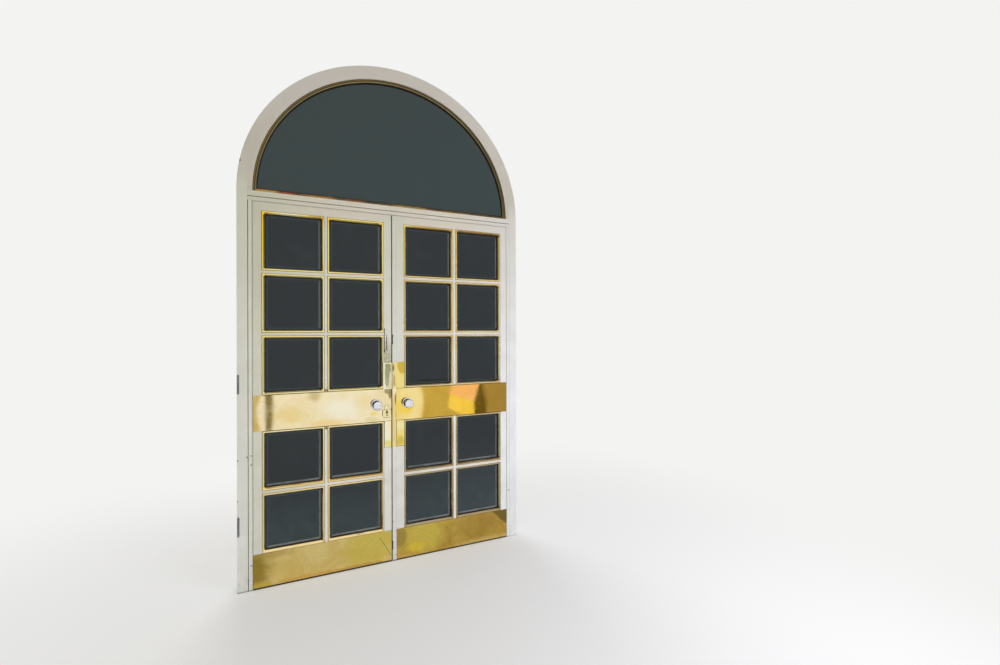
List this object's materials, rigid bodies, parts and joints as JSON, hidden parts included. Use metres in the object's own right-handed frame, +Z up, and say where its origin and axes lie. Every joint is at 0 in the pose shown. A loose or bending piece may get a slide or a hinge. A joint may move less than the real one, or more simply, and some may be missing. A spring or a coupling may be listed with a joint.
{
  "type": "arched double entrance door",
  "caption": "Pair of glazed entrance leaves with brass plates and beads, in a painted frame with a half-round fanlight.",
  "frame": {"origin": "on the left jamb's wall face, at floor level, at the middle of the frame's depth", "axes": "+X along the wall to the right jamb, +Y into the building, +Z up"},
  "size_m": [1.666, 0.1645, 2.9888],
  "materials": {
    "cream_paint": "gloss paint on timber",
    "dark_glass": "tinted, bevelled edges",
    "polished_brass": "polished, slightly uneven",
    "satin_brass": "dulled and stained",
    "bronzed_brass": "bronzed",
    "satin_chrome": "satin",
    "hinge_steel": "satin"
  },
  "bodies": {
    "frame": {"left_jamb": "cream_paint", "right_jamb": "cream_paint", "transom": "cream_paint", "left_stop": "cream_paint", "right_stop": "cream_paint", "head_stop": "cream_paint", "arch_casing": "cream_paint", "arch_stop": "cream_paint", "fanlight_glass": "dark_glass", "fanlight_bead": "bronzed_brass", "frame_hinges": "hinge_steel", "side_hinge_halves": "hinge_steel"},
    "left_leaf": {"left_hinge_stile": "cream_paint", "left_meeting_stile": "cream_paint", "left_top_rail": "cream_paint", "left_lock_rail": "cream_paint", "left_bottom_rail": "cream_paint", "left_glazing_posts": "cream_paint", "left_glazing_bars": "cream_paint", "left_panes": "dark_glass", "left_beads": "polished_brass", "left_lock_plate": "polished_brass", "left_kick_plate": "satin_brass", "left_stile_plate": "polished_brass", "left_strike_box": "polished_brass", "left_guard": "polished_brass", "left_knobs": "satin_chrome", "left_hinges": "hinge_steel"},
    "right_leaf": {"right_hinge_stile": "cream_paint", "right_meeting_stile": "cream_paint", "right_top_rail": "cream_paint", "right_lock_rail": "cream_paint", "right_bottom_rail": "cream_paint", "right_glazing_posts": "cream_paint", "right_glazing_bars": "cream_paint", "right_panes": "dark_glass", "right_beads": "polished_brass", "right_lock_plate": "polished_brass", "right_kick_plate": "satin_brass", "right_stile_plates": "polished_brass", "right_knobs": "satin_chrome", "right_hinges": "hinge_steel", "meeting_strip": "cream_paint", "strip_cover": "polished_brass"}
  },
  "joints": [
    {"name": "left_hinge", "type": "hinge", "parent": "frame", "child": "left_leaf", "pos_m": [0.0535, 0.0015, 1.078], "axis": [0, 0, 1], "range_deg": [0, 90]},
    {"name": "right_hinge", "type": "hinge", "parent": "frame", "child": "right_leaf", "pos_m": [1.6125, 0.0015, 1.078], "axis": [0, 0, -1], "range_deg": [0, 90]}
  ]
}
